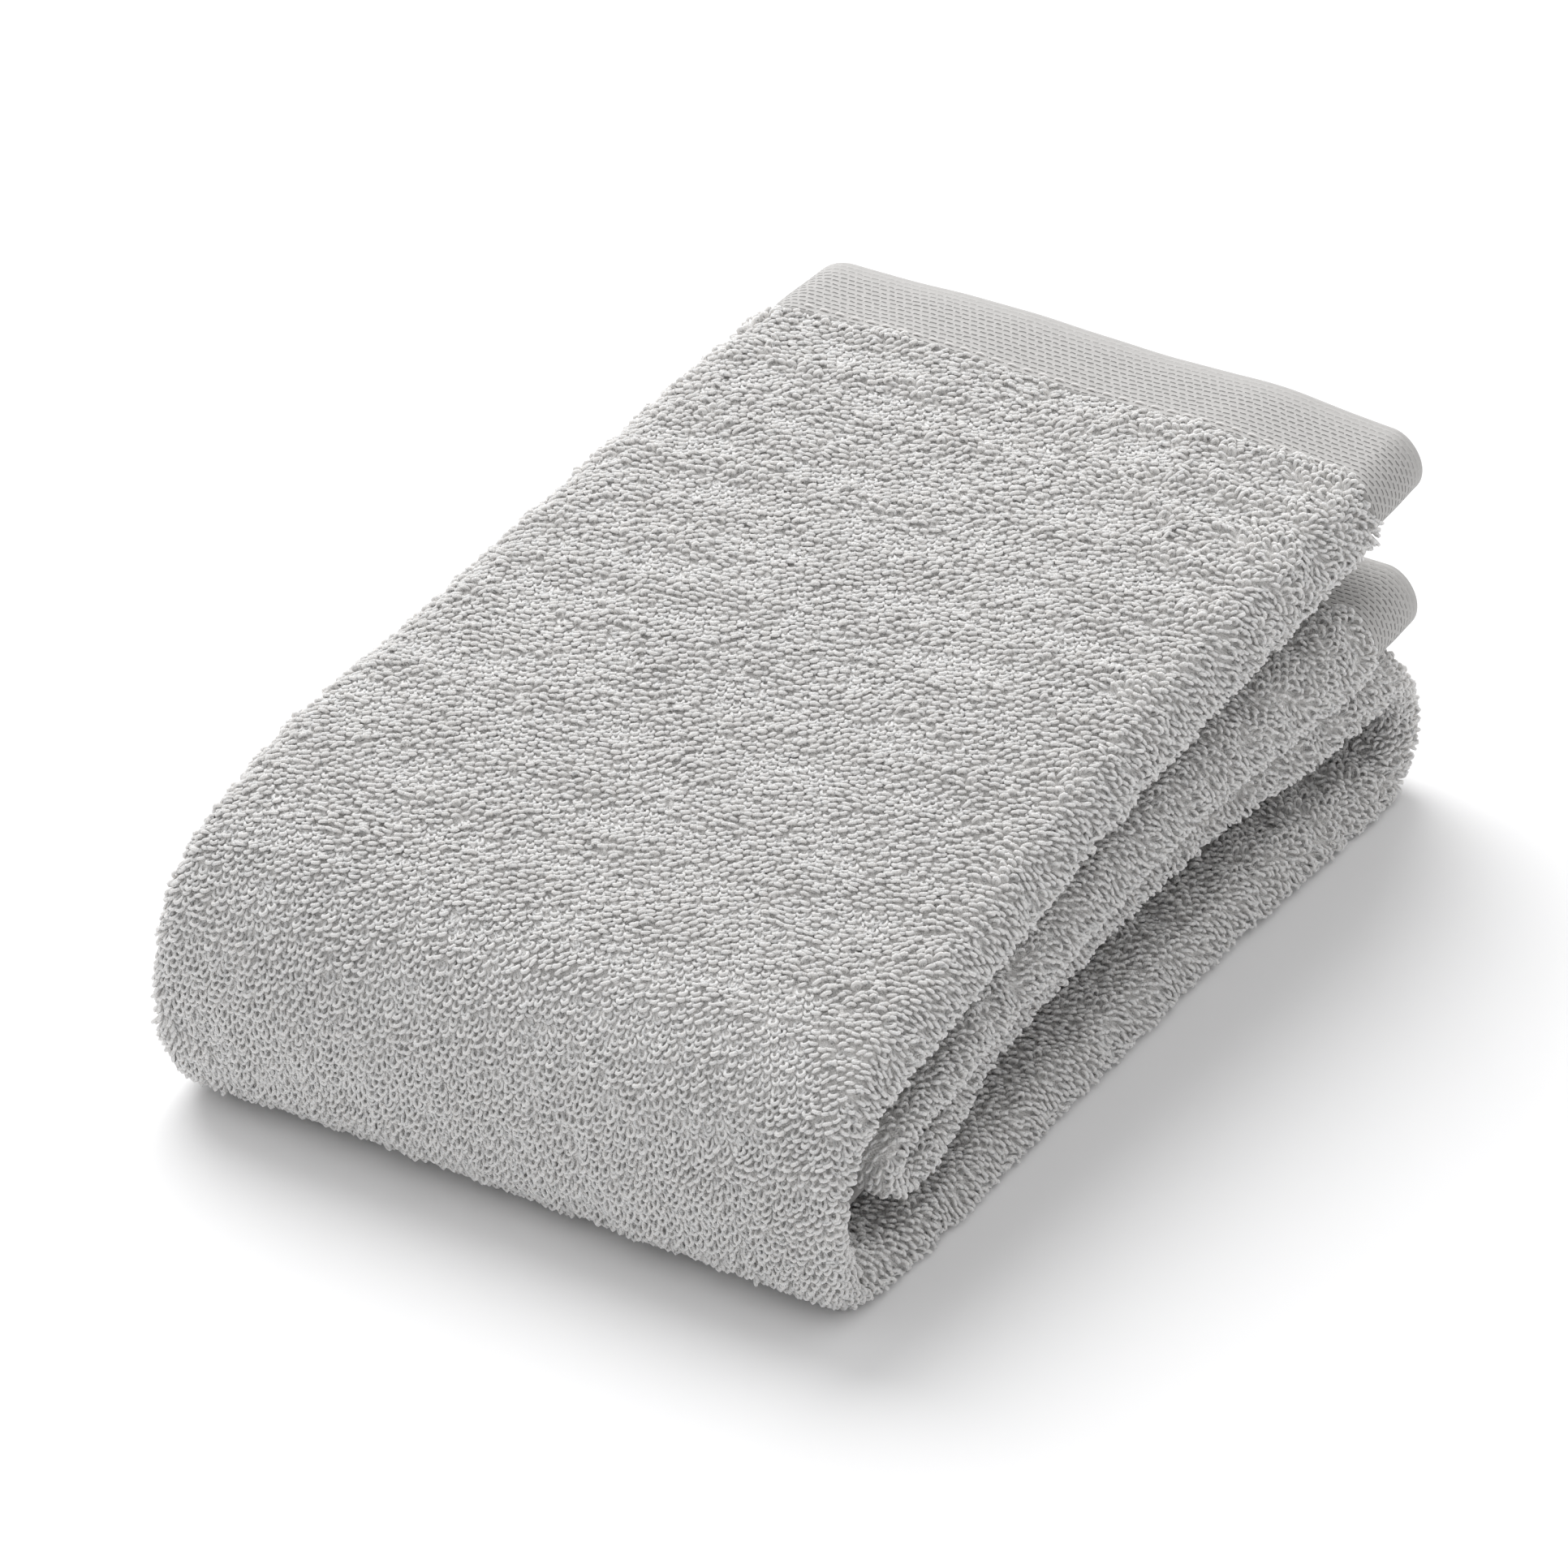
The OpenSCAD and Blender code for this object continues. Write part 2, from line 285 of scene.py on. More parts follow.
class Strip:
    """Outer surface of one stretch of the strip, as a grid of points, with normals that point out of the
    cloth."""

    def __init__(self, name, flap, face, flap_inset, sink=0.0, recess=0.0, sag=ROLL_SAG, inner_rise=0.0):
        self.name = name
        self.flap, self.face = flap, face
        across = face - flap
        self.thick = np.linalg.norm(across, axis=1)
        middle_y = (flap[:, 0] + face[:, 0]) / 2
        pull = taper(middle_y)
        self.inner = INNER_PLY_H + inner_rise * pull
        self.left = -HALF_W + LEFT_TAPER * pull
        self.right = HALF_W - RIGHT_TAPER * pull - recess
        self.flap_edge = self.right - FLAP_RECESS - HEM_RECESS * pull
        self.droop = sag * across[:, 1] / self.thick
        x, h = section_rows(
            self.thick, self.inner, self.left, self.right, self.flap_edge - flap_inset, self.droop)
        share = h / self.thick[:, None]
        yz = flap[:, None, :] + share[:, :, None] * across[:, None, :]
        self.points = np.concatenate([x[:, :, None], yz], 2)
        self.normals = surface_normals(self.points)
        up = across / self.thick[:, None]
        face_n = self.normals[:, column_of(FACE), 1:]
        if np.mean(np.sum(face_n * up[:, None, :], 2)) < 0:
            self.normals = -self.normals
        self.points = settle(self.points + self.normals * self.unevenness()[:, :, None])
        self.points = self.points - self.normals * sink

    def unevenness(self):
        """Soft hollows and swellings of the cloth, under a millimetre, the same on both sides of a seam
        between two strips because they depend only on the place."""
        x, y, z = (self.points[:, :, i] for i in range(3))
        slow = np.sin(x / 23 + 1.3) * np.sin((y + z) / 31) + 0.6 * np.sin(x / 11 - y / 17 + z / 9 + 0.7)
        fine = 0.35 * np.sin(x / 5.1 + y / 6.7) * np.sin(y / 4.3 - x / 9.1 + z / 5)
        return 0.28 * (slow + fine)


def surface_normals(points):
    along = np.gradient(points, axis=0)
    across = np.gradient(points, axis=1)
    n = np.cross(across, along)
    length = np.linalg.norm(n, axis=2, keepdims=True)
    return n / np.maximum(length, 1e-9)


# ---------------------------------------------------------------- meshes

def new_object(name, verts, faces, material, smooth_shading=True):
    """verts in millimetres, faces an array of quads."""
    mesh = bpy.data.meshes.new(name)
    faces = np.asarray(faces, np.int32)
    mesh.vertices.add(len(verts))
    mesh.vertices.foreach_set("co", (np.asarray(verts) * MM).astype(np.float32).ravel())
    mesh.loops.add(faces.size)
    mesh.loops.foreach_set("vertex_index", faces.ravel())
    mesh.polygons.add(len(faces))
    mesh.polygons.foreach_set("loop_start", np.arange(0, faces.size, faces.shape[1], dtype=np.int32))
    mesh.polygons.foreach_set("use_smooth", np.full(len(faces), smooth_shading))
    mesh.update(calc_edges=True)
    mesh.materials.append(material)
    obj = bpy.data.objects.new(name, mesh)
    bpy.context.scene.collection.objects.link(obj)
    return obj


def corner_uv(mesh, name, per_vertex):
    """UV map from one pair of numbers for each vertex."""
    layer = mesh.uv_layers.new(name=name)
    index = np.empty(len(mesh.loops), np.int32)
    mesh.loops.foreach_get("vertex_index", index)
    layer.data.foreach_set("uv", per_vertex[index].astype(np.float32).ravel())


def point_values(mesh, name, values):
    """Attribute with one number for each vertex."""
    attribute = mesh.attributes.new(name, "FLOAT", "POINT")
    attribute.data.foreach_set("value", np.ascontiguousarray(values, np.float32).ravel())


def grid_faces(rows, cols, offset=0, flip=False):
    """Quads between the points of a grid."""
    i = np.arange(rows - 1)[:, None] * cols + np.arange(cols - 1)[None, :] + offset
    quads = np.stack([i, i + 1, i + cols + 1, i + cols], 2).reshape(-1, 4)
    return quads[:, ::-1] if flip else quads


def rim_faces(rows, cols, inner_offset):
    """Faces that close the four edges between two grids of the same size."""
    index = np.arange(rows * cols).reshape(rows, cols)
    ring = np.concatenate([index[0, :-1], index[:-1, -1], index[-1, :0:-1], index[:0:-1, 0]])
    nxt = np.roll(ring, -1)
    return np.stack([nxt, ring, ring + inner_offset, nxt + inner_offset], 1)


def shells(name, pairs, material):
    """Closed thin solids, each between two grids of points, as one object. Its UV map holds the distances
    along and across the cloth."""
    verts, faces, uvs = [], [], []
    start = 0
    for outer, inner in pairs:
        rows, cols = outer.shape[:2]
        count = rows * cols
        verts += [outer.reshape(-1, 3), inner.reshape(-1, 3)]
        sides = [grid_faces(rows, cols), grid_faces(rows, cols, count, flip=True)]
        faces.append(np.concatenate([*sides, rim_faces(rows, cols, count)]) + start)
        uvs += 2 * [np.stack([path_lengths(outer, 1), path_lengths(outer, 0)], 2).reshape(-1, 2) * MM]
        start += 2 * count
    obj = new_object(name, np.concatenate(verts), np.concatenate(faces), material)
    corner_uv(obj.data, "cloth", np.concatenate(uvs))
    return obj


def path_lengths(points, axis):
    """Distance of every grid point along one direction of the grid, averaged so that the lines stay
    straight."""
    step = np.linalg.norm(np.diff(points, axis=axis), axis=2)
    step = step.mean(axis=1 - axis)
    total = np.concatenate([[0], np.cumsum(step)])
    shape = (1, -1) if axis == 1 else (-1, 1)
    return np.broadcast_to(total.reshape(shape), points.shape[:2])


# ---------------------------------------------------------------- materials

# Colours are matched to the photo. Places in a material are in metres, so noise scales count for each metre.
YARN = (0.81, 0.798, 0.786, 1)
# Pale colour: painted light at the yarn's roots, lighter than the tips to stand in for light scattered down
# between the loops; also the pale end of the loops' random tone and of the ground weave.
PALE_TONE_AND_PAINTED_LIGHT = (0.96, 0.948, 0.936, 1)
WEAVE = (0.55, 0.54, 0.53, 1)
WEAVE_SHADE = (0.46, 0.45, 0.44, 1)
# Ground cloth colour: painted light, paler than the yarn's tips to offset the shade between the loops.
GROUND_PAINTED_LIGHT = (0.92, 0.91, 0.90, 1)
# Slit colour: painted shade, the dark inside the weave's slits.
SLIT_PAINTED_SHADE = (0.16, 0.155, 0.15, 1)
HEM_SHADE = (0.50, 0.49, 0.48, 1)
THREAD = (0.82, 0.805, 0.79, 1)
THREAD_SHADE = (0.72, 0.705, 0.695, 1)
PAPER = (0.94, 0.94, 0.945, 1)
PAPER_SHADE = (0.93, 0.93, 0.935, 1)


class Nodes:
    """Short hand for building a material's nodes."""

    def __init__(self, name, roughness, sheen):
        self.material = bpy.data.materials.new(name)
        self.material.use_nodes = True
        self.tree = self.material.node_tree
        self.shader = self.tree.nodes["Principled BSDF"]
        self.shader.inputs["Roughness"].default_value = roughness
        self.shader.inputs["Sheen Weight"].default_value = sheen
        self.shader.inputs["Sheen Roughness"].default_value = 0.5
        self.shader.inputs["Specular IOR Level"].default_value = 0.2

    def add(self, kind, **values):
        node = self.tree.nodes.new(kind)
        for key, value in values.items():
            if key in node.inputs:
                node.inputs[key].default_value = value
            else:
                setattr(node, key, value)
        return node

    def link(self, source, target):
        self.tree.links.new(source, target)

    def math(self, operation, a, b=None):
        node = self.add("ShaderNodeMath", operation=operation)
        for socket, value in zip(node.inputs, (a, b)):
            if value is None:
                continue
            if isinstance(value, (int, float)):
                socket.default_value = value
            else:
                self.link(value, socket)
        return node.outputs[0]

    def mix(self, factor, a, b):
        node = self.add("ShaderNodeMix", data_type="RGBA")
        for socket, value in ((node.inputs[0], factor), (node.inputs[6], a), (node.inputs[7], b)):
            if isinstance(value, (int, float, tuple)):
                socket.default_value = value
            else:
                self.link(value, socket)
        return node.outputs[2]

    def attribute(self, name):
        return self.add("ShaderNodeAttribute", attribute_name=name).outputs["Fac"]

    def uv(self, name):
        """Both numbers of a UV map."""
        split = self.add("ShaderNodeSeparateXYZ")
        self.link(self.add("ShaderNodeUVMap", uv_map=name).outputs[0], split.inputs[0])
        return split.outputs[0], split.outputs[1]

    def wave(self, value, pitch):
        return self.math("SINE", self.math("MULTIPLY", value, 2 * math.pi / pitch))

    def window(self, value, near, far):
        """1 where a value is under near, 0 where it is over far, and smooth between."""
        node = self.add("ShaderNodeMapRange", interpolation_type="SMOOTHSTEP",
                        **{"From Min": near, "From Max": far, "To Min": 1.0, "To Max": 0.0})
        self.link(value, node.inputs["Value"])
        return node.outputs[0]

    def noise(self, vector, scale, detail=2.0):
        node = self.add("ShaderNodeTexNoise", Scale=scale, Detail=detail)
        self.link(vector, node.inputs["Vector"])
        return node.outputs["Fac"]

    def position(self):
        return self.add("ShaderNodeTexCoord").outputs["Object"]

    def bump(self, height, distance, strength=1.0):
        node = self.add("ShaderNodeBump", Distance=distance, Strength=strength)
        self.link(height, node.inputs["Height"])
        self.link(node.outputs[0], self.shader.inputs["Normal"])

    def colour(self, source):
        self.link(source, self.shader.inputs["Base Color"])


TWIST_TURNS = 5.0       # turns that the yarn's twist makes from foot to foot of a loop
YARN_STRANDS = 2        # strands twisted into the yarn


def yarn_material():
    """Cotton pile yarn, which scatters light: painted paler towards the root as painted light, standing in
    for the light scattered down between the loops, a little different from loop to loop, with its twist as
    bump."""
    m = Nodes("terry_yarn", 0.9, 0.25)
    m.shader.inputs["Subsurface Weight"].default_value = 0.5
    m.shader.inputs["Subsurface Radius"].default_value = (1.0, 0.95, 0.9)
    m.shader.inputs["Subsurface Scale"].default_value = 1.5 * MM
    # Painted light: the yarn is paler towards its root, where shade falls between the loops.
    base = m.mix(m.math("POWER", m.attribute("height"), 0.7), PALE_TONE_AND_PAINTED_LIGHT, YARN)
    m.colour(m.mix(m.math("MULTIPLY", m.attribute("tone"), 0.35), base, PALE_TONE_AND_PAINTED_LIGHT))
    along, around = m.uv("yarn")
    twist = m.wave(m.math("ADD", m.math("MULTIPLY", along, TWIST_TURNS), around), 1 / YARN_STRANDS)
    fuzz = m.noise(m.position(), 5200.0)
    m.bump(m.math("ADD", m.math("MULTIPLY", twist, 0.5), fuzz), 0.12 * MM, 0.8)
    return m.material


WARP_PITCH = 0.9 * MM
WEFT_PITCH = 0.8 * MM


def ground_material():
    """Ground weave under the pile, seen between the loops, painted paler than the yarn's tips as painted
    light that offsets the shade between the loops.
    """
    m = Nodes("ground_weave", 0.95, 0.1)
    across, along = m.uv("cloth")
    weave = m.math("MULTIPLY", m.wave(across, WARP_PITCH), m.wave(along, WEFT_PITCH))
    # Painted light: the ground is paler than the yarn's tips, and the weave's threads mix it with the pale
    # colour.
    m.colour(m.mix(m.math("ADD", m.math("MULTIPLY", weave, 0.5), 0.5), GROUND_PAINTED_LIGHT, PALE_TONE_AND_PAINTED_LIGHT))
    m.bump(weave, 0.15 * MM)
    return m.material


SLIT_PITCH = 2.1 * MM   # from one slit to the next in a row of the hem band
SLIT_ROW = 1.6 * MM     # from one row of slits to the next


def band_material():
    """Flat weave of the hem band: rows of small staggered slits between raised threads, with painted shade
    in the slits.
    """
    m = Nodes("hem_band_weave", 0.85, 0.2)
    across, along = m.uv("cloth")
    wobble = m.math("MULTIPLY", m.math("SUBTRACT", m.noise(m.position(), 600.0), 0.5), 0.5)
    row = m.math("ADD", m.math("DIVIDE", along, SLIT_ROW), wobble)
    stagger = m.math("MULTIPLY", m.math("MODULO", m.math("FLOOR", row), 2.0), 0.5)
    place = m.math("ADD", m.math("ADD", m.math("DIVIDE", across, SLIT_PITCH), stagger), wobble)
    from_middle = [m.math("ABSOLUTE", m.math("SUBTRACT", m.math("FRACT", v), 0.5)) for v in (place, row)]
    slit = m.math("MULTIPLY", m.window(from_middle[0], 0.30, 0.38), m.window(from_middle[1], 0.05, 0.16))
    slit = m.math("MULTIPLY", slit, m.attribute("slits"))
    rib = m.math("MULTIPLY", m.math("COSINE", m.math("MULTIPLY", row, 2 * math.pi)), -0.15)
    fuzz = m.math("MULTIPLY", m.noise(m.position(), 3500.0), 0.4)
    patch = m.mix(m.noise(m.position(), 900.0, 3.0), WEAVE_SHADE, WEAVE)
    # Painted shade: the slits, real as bump, are coloured dark for the shade inside them.
    m.colour(m.mix(m.math("MULTIPLY", slit, 0.8), patch, SLIT_PAINTED_SHADE))
    m.bump(m.math("ADD", m.math("SUBTRACT", rib, slit), fuzz), 0.3 * MM)
    return m.material


def hem_material():
    """Plain weave of the turned side hem."""
    m = Nodes("side_hem_weave", 0.88, 0.15)
    place = m.position()
    m.colour(m.mix(m.noise(place, 900.0), HEM_SHADE, WEAVE))
    m.bump(m.noise(place, 2400.0, 4.0), 0.2 * MM)
    return m.material


def thread_material():
    """Sewing thread, a little glossier than the pile."""
    m = Nodes("sewing_thread", 0.6, 0.1)
    place = m.position()
    m.colour(m.mix(m.noise(place, 1500.0), THREAD_SHADE, THREAD))
    m.bump(m.noise(place, 6000.0), 0.1 * MM)
    return m.material


def floor_material():
    """Matt, nearly white paper."""
    m = Nodes("floor_paper", 0.9, 0.0)
    m.colour(m.mix(m.noise(m.position(), 3.0), PAPER_SHADE, PAPER))
    return m.material


# ---------------------------------------------------------------- pile

PITCH_ACROSS = 2.0      # from loop to loop in a row
PITCH_ALONG = 1.6       # from row to row along the strip
LOOP_H = 2.2            # height of a loop over the ground cloth
LOOP_W = 1.5            # width of a loop between the middles of its two sides
YARN_R = 0.4            # radius of the pile yarn
YARN_TURN = 0.5         # angle that the yarn's twist turns each loop out of its row
LOOP_LEAN = 1.1         # angle that the loops lean over, towards the front fold
PRESS_H = 1.2           # height over the table under which the pile is squeezed
SIDE_UPRIGHT = 0.45     # how much less the loops lean at the right side
SIDE_START = 58.0       # where they start to lean less, from the middle of the strip
LOOP_POINTS = 7         # rings of vertices along a loop
LOOP_SIDES = 5          # vertices of a ring
LOOPS_PER_PIECE = 2200  # most loops in one piece
SIGHT = 24.0            # how far in from the sides loops are in sight between two leaves
INNER_PILE = 3          # columns of the inner ply that have pile, next to the right turn


def loop_outline():
    """Centreline of one loop in its own plane, from foot to foot: sideways and up, for a unit width and
    height, and the place along it."""
    t = np.linspace(0, 1, LOOP_POINTS)
    angle = math.pi * (1.18 * (1 - t) - 0.09)
    side = 0.5 * np.cos(angle) * (1 + 0.25 * np.sin(math.pi * t))
    up = np.sin(np.clip(angle, 0, math.pi)) ** 0.62
    up[[0, -1]] = -0.06
    side[[0, -1]] *= 0.6
    return side, up, t


def sample_grid(grid, rows, cols):
    """Values of a grid at fractional rows and columns."""
    r0 = np.clip(rows.astype(int), 0, grid.shape[0] - 2)
    c0 = np.clip(cols.astype(int), 0, grid.shape[1] - 2)
    fr = (rows - r0)[:, None]
    fc = (cols - c0)[:, None]
    near = grid[r0, c0] * (1 - fc) + grid[r0, c0 + 1] * fc
    far = grid[r0 + 1, c0] * (1 - fc) + grid[r0 + 1, c0 + 1] * fc
    return near * (1 - fr) + far * fr


def unit(v):
    return v / np.maximum(np.linalg.norm(v, axis=1, keepdims=True), 1e-9)


def smooth_noise(points, scale, seed):
    """Slowly changing numbers from -1 to 1 over space, as a sum of seeded waves."""
    waves = np.random.default_rng(seed)
    total = np.zeros(len(points))
    for _ in range(7):
        direction = waves.normal(size=3)
        direction /= np.linalg.norm(direction)
        frequency = waves.uniform(0.6, 1.5) / scale
        total += np.sin(points @ direction * frequency * 2 * math.pi + waves.uniform(0, 6.28))
    return total / 2.6


def loop_places(strip, first_col, last_col, keep):
    """Fractional rows and columns of the loops on part of a strip: staggered rows, a little uneven."""
    steps = np.linalg.norm(np.diff(strip.points, axis=0), axis=2)[:, first_col:last_col].mean(axis=1)
    along = np.concatenate([[0], np.cumsum(steps)])
    row_count = max(int(round(along[-1] / PITCH_ALONG)), 1)
    rows, cols = [], []
    for k in range(row_count):
        row = np.interp((k + 0.5) * along[-1] / row_count, along, np.arange(len(along)))
        line = sample_grid(strip.points, np.full(last_col - first_col + 1, row),
                           np.arange(first_col, last_col + 1, dtype=float))
        across = np.concatenate([[0], np.cumsum(np.linalg.norm(np.diff(line, axis=0), axis=1))])
        count = int(across[-1] / PITCH_ACROSS)
        if count < 1:
            continue
        place = (np.arange(count) + 0.25 + 0.5 * (k % 2)) * across[-1] / count
        place = place + rng.normal(0, 0.11, count) * PITCH_ACROSS
        place = np.clip(place, 0, across[-1])
        cols.append(np.interp(place, across, np.arange(first_col, last_col + 1)))
        rows.append(row + rng.normal(0, 0.1, count) * PITCH_ALONG / steps.mean())
    rows = np.clip(np.concatenate(rows), 0, strip.points.shape[0] - 1.001)
    cols = np.concatenate(cols)
    kept = keep(strip, rows, cols)
    return rows[kept], cols[kept]


def everywhere(strip, rows, cols):
    return np.ones(len(rows), bool)


def near_sides(strip, rows, cols):
    """Loops within sight at the sides, on faces that lie on each other."""
    x = sample_grid(strip.points, rows, cols)[:, 0]
    return np.abs(x) > HALF_W - SIGHT


def roughness_of(place):
    """How tousled the pile is, from 0 where it lies in rows to 1 near the hem ends and the right side."""
    hem = smooth((place[:, 1] - 10) / 90)
    side = smooth((place[:, 0] - 20) / 70)
    patch = 0.5 + 0.5 * smooth_noise(place, 45.0, 8)
    return np.clip(0.12 + 0.5 * hem * side + 0.25 * hem + 0.25 * side * patch + 0.15 * patch, 0, 1)


def loop_frames(strip, rows, cols):
    """Foot of each loop, and two directions of the plane it lies in: sideways and up."""
    surface = sample_grid(strip.points, rows, cols)
    normal = unit(sample_grid(strip.normals, rows, cols))
    foot = surface - normal * LOOP_DEPTH
    along = unit(sample_grid(np.gradient(strip.points, axis=0), rows, cols))
    across = unit(np.cross(along, normal))
    across *= np.where(across[:, :1] < 0, -1, 1)
    along = np.cross(normal, across)
    clump = smooth_noise(surface, 26.0, 4)
    local = smooth_noise(surface, 9.0, 5)
    rough = roughness_of(surface)
    turn = YARN_TURN + 0.22 * clump + 0.5 * rough * local + rng.normal(0, 0.16 + 0.2 * rough, len(rows))
    plane = across * np.cos(turn)[:, None] + along * np.sin(turn)[:, None]
    side = np.cross(normal, plane)
    lean = LOOP_LEAN + (0.12 + 0.5 * rough) * smooth_noise(surface, 12.0, 6) - 0.3 * rough
    lean = lean - SIDE_UPRIGHT * smooth((surface[:, 0] - SIDE_START) / 22)
    lean = np.clip(lean + rng.normal(0, 0.12, len(rows)), -0.5, 1.3)
    up = normal * np.cos(lean)[:, None] - side * np.sin(lean)[:, None]
    return foot, plane, up


def make_loops(foot, plane, up):
    """Vertices of the loops, and the height share of each ring of vertices."""
    n = len(foot)
    side, height, t = loop_outline()
    width = LOOP_W * rng.normal(1, 0.09, n).clip(0.75, 1.3)
    tall = LOOP_H * rng.normal(1, 0.1, n).clip(0.7, 1.3)
    skew = rng.normal(0, 0.16, n)
    forward = np.cross(plane, up)
    s = side[None, :] * width[:, None] + skew[:, None] * height[None, :] * width[:, None] * 0.5
    h = height[None, :] * tall[:, None]
    curl = rng.normal(0, 0.3, n)[:, None] * (height[None, :] ** 2) * 0.8
    line = (foot[:, None] + plane[:, None] * s[..., None] + up[:, None] * h[..., None]
            + forward[:, None] * curl[..., None])
    tangent = np.gradient(line, axis=1)
    tangent /= np.linalg.norm(tangent, axis=2, keepdims=True)
    ref = np.broadcast_to(forward[:, None], tangent.shape)
    a = np.cross(tangent, ref)
    a /= np.maximum(np.linalg.norm(a, axis=2, keepdims=True), 1e-9)
    b = np.cross(tangent, a)
    radius = YARN_R * rng.normal(1, 0.08, n).clip(0.8, 1.2)[:, None]
    radius = radius * (0.82 + 0.3 * np.sin(math.pi * t))[None, :]
    around = (np.arange(LOOP_SIDES) * 2 * math.pi / LOOP_SIDES)[:, None]
    ring = a[:, :, None] * np.cos(around) + b[:, :, None] * np.sin(around)
    return line[:, :, None] + ring * radius[:, :, None, None], height


def loop_faces(n):
    """Quads of n loops: LOOP_POINTS rings of LOOP_SIDES vertices each."""
    ring = np.arange(LOOP_SIDES)
    nxt = (ring + 1) % LOOP_SIDES
    base = (np.arange(LOOP_POINTS - 1) * LOOP_SIDES)[:, None]
    one = np.stack([base + ring, base + nxt, base + nxt + LOOP_SIDES, base + ring + LOOP_SIDES], 2)
    one = one.reshape(-1, 4)
    return (np.arange(n) * LOOP_POINTS * LOOP_SIDES)[:, None, None] + one[None]


def bake_layout(n):
    """Two UV maps: one cell of the unit square for each loop, with the yarn unrolled in it, and the whole
    square for every loop."""
    side = math.ceil(math.sqrt(n))
    cell = np.stack([np.arange(n) % side, np.arange(n) // side], 1) / side
    u = np.arange(LOOP_POINTS - 1)[:, None] + np.array([0, 0, 1, 1])
    v = np.arange(LOOP_SIDES)[:, None] + np.array([0, 1, 1, 0])
    corners = (LOOP_POINTS - 1, LOOP_SIDES, 4)
    u = np.broadcast_to((u / (LOOP_POINTS - 1))[:, None, :], corners)
    v = np.broadcast_to((v / LOOP_SIDES)[None, :, :], corners)
    local = np.stack([u, v], 3).reshape(1, -1, 2)
    margin = 0.1
    bake = cell[:, None, :] + (margin + (1 - 2 * margin) * local) / side
    yarn = np.broadcast_to(local, (n, local.shape[1], 2))
    return bake.reshape(-1, 2), yarn.reshape(-1, 2)


def pressed(z):
    """Heights of the pile over the table: under PRESS_H it is squeezed together and never goes through."""
    return np.where(z < PRESS_H, PRESS_H * np.exp((z - PRESS_H) / PRESS_H), z)


def pile_piece(name, foot, plane, up):
    """One object with all the given loops."""
    n = len(foot)
    verts, height = make_loops(foot, plane, up)
    verts[..., 2] = pressed(verts[..., 2])
    obj = new_object(name, verts.reshape(-1, 3), loop_faces(n).reshape(-1, 4), YARN_MAT)
    shape = (n, LOOP_POINTS, LOOP_SIDES)
    # Height share along each loop, by which the yarn material paints light: paler towards the root.
    point_values(obj.data, "height", np.broadcast_to(np.clip(height, 0, 1)[None, :, None], shape))
    point_values(obj.data, "tone", np.broadcast_to(rng.uniform(0, 1, n)[:, None, None] ** 2, shape))
    for key, values in zip(("OFBake", "yarn"), bake_layout(n)):
        layer = obj.data.uv_layers.new(name=key)
        layer.data.foreach_set("uv", values.astype(np.float32).ravel())
    return obj


def pile(strip, part, first, last, keep=everywhere):
    """Loops on some columns of a strip, split into pieces of a modest size."""
    rows, cols = loop_places(strip, first, last, keep)
    if not len(rows):
        return []
    frames = loop_frames(strip, rows, cols)
    chunks = math.ceil(len(rows) / LOOPS_PER_PIECE)
    pieces = []
    for k, index in enumerate(np.array_split(np.arange(len(rows)), chunks)):
        name = f"{strip.name}_pile_{part}" + (f"_{k + 1}" if chunks > 1 else "")
        pieces.append(pile_piece(name, *(values[index] for values in frames)))
    return pieces


def strip_pile(strip, keep_flap, keep_face):
    """Pile on the flap, the face and both turns of a strip, and a little way onto the inner ply."""
    flap, left, face, right = (column_of(part) for part in (FLAP, LEFT, FACE, RIGHT))
    return (pile(strip, "flap", flap.start, flap.stop, keep_flap)
            + pile(strip, "face", face.start, face.stop, keep_face)
            + pile(strip, "left", left.start, left.stop)
            + pile(strip, "right", right.start, right.stop + INNER_PILE))


# ---------------------------------------------------------------- the towel's pieces

YARN_MAT = yarn_material()
GROUND_MAT = ground_material()
BAND_MAT = band_material()
HEM_MAT = hem_material()
THREAD_MAT = thread_material()

STATION = 2.0           # distance between stations along a leaf
HEM_DEPTH = 1.0         # from the flap's surface in to the side hem
THREAD_R = 0.3          # radius of the sewing thread
THREAD_DEPTH = 0.95     # from the flap's surface in to the side hem's stitches
STITCH_L = 3.0          # length of a stitch
STITCH_PITCH = 4.0      # from stitch to stitch
STITCH_PLACE = 0.7      # where the side hem's stitches lie, as a share of its width from the free edge


def stations(y0, y1):
    return np.linspace(y0, y1, max(int(abs(y1 - y0) / STATION), 2) + 1)


def ground_cloth(name, strip, runs):
    """The ground cloth under the pile, on runs of a strip's columns, as closed thin solids."""
    pairs = []
    for first, last in runs:
        normals = strip.normals[:, first:last + 1]
        outer = strip.points[:, first:last + 1] - normals * LOOP_DEPTH
        pairs.append((outer, outer - normals * GROUND_T))
    return shells(name, pairs, GROUND_MAT)


